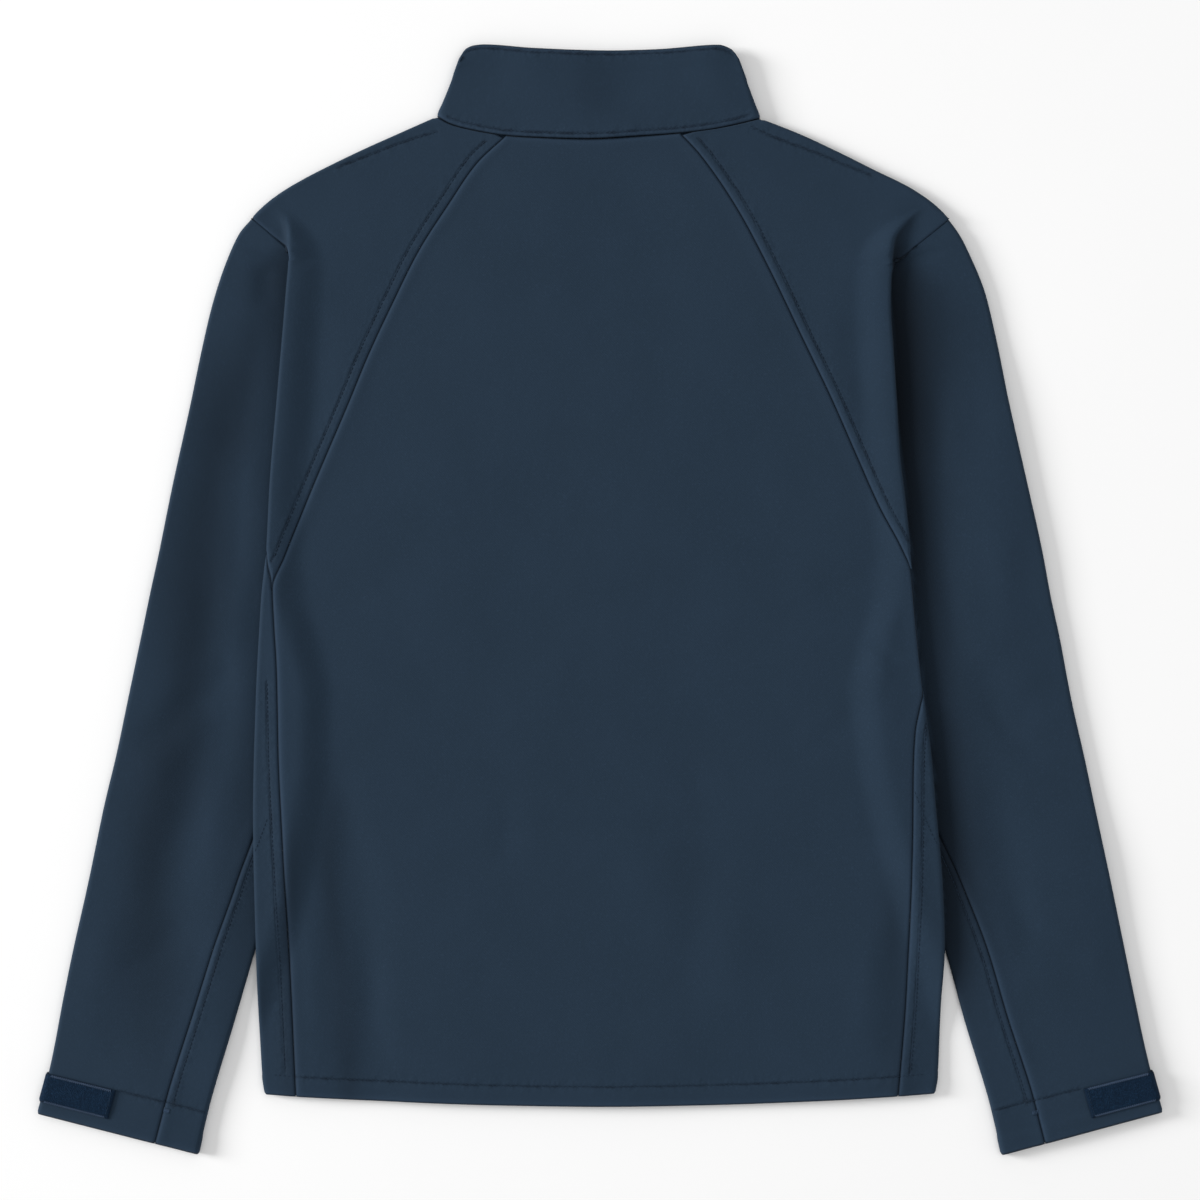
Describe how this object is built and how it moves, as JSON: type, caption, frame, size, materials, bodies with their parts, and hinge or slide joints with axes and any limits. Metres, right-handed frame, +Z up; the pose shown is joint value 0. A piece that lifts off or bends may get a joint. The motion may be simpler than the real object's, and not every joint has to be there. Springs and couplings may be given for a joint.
{
  "type": "softshell jacket",
  "caption": "Long-sleeved softshell jacket with a stand collar, raglan shoulders and cuff loop strips, laid flat on its closed front with its back up.",
  "frame": {"origin": "centre of the bounding box in X and Y, on the surface that the jacket lies on", "axes": "+Y from the hem to the collar, +Z up out of the jacket's back, +X to the right of someone who looks down on the back"},
  "size_m": [0.833, 0.8219, 0.0123],
  "materials": {
    "softshell": "matt bonded stretch weave",
    "loop_tape": "fuzzy loop pile",
    "zip_tape": "moulded teeth on woven tape",
    "slider_metal": "satin lacquer"
  },
  "bodies": {
    "jacket": {"back_centre": "softshell", "back_shoulder_left": "softshell", "back_shoulder_right": "softshell", "side_left": "softshell", "side_right": "softshell", "front_left": "softshell", "front_right": "softshell", "sleeve_upper_left": "softshell", "sleeve_upper_right": "softshell", "sleeve_under_left": "softshell", "sleeve_under_right": "softshell", "cuff_patch_left": "loop_tape", "cuff_patch_right": "loop_tape", "cuff_tab_left": "softshell", "cuff_tab_right": "softshell", "collar": "softshell", "zip_chain": "zip_tape", "zip_slider": "slider_metal"},
    "pull": {"zip_pull": "slider_metal"}
  },
  "joints": [
    {"name": "pull_swing", "type": "hinge", "parent": "jacket", "child": "pull", "pos_m": [0, 0.365, 0.00105], "axis": [1, 0, 0], "range_deg": [0, 170]}
  ]
}
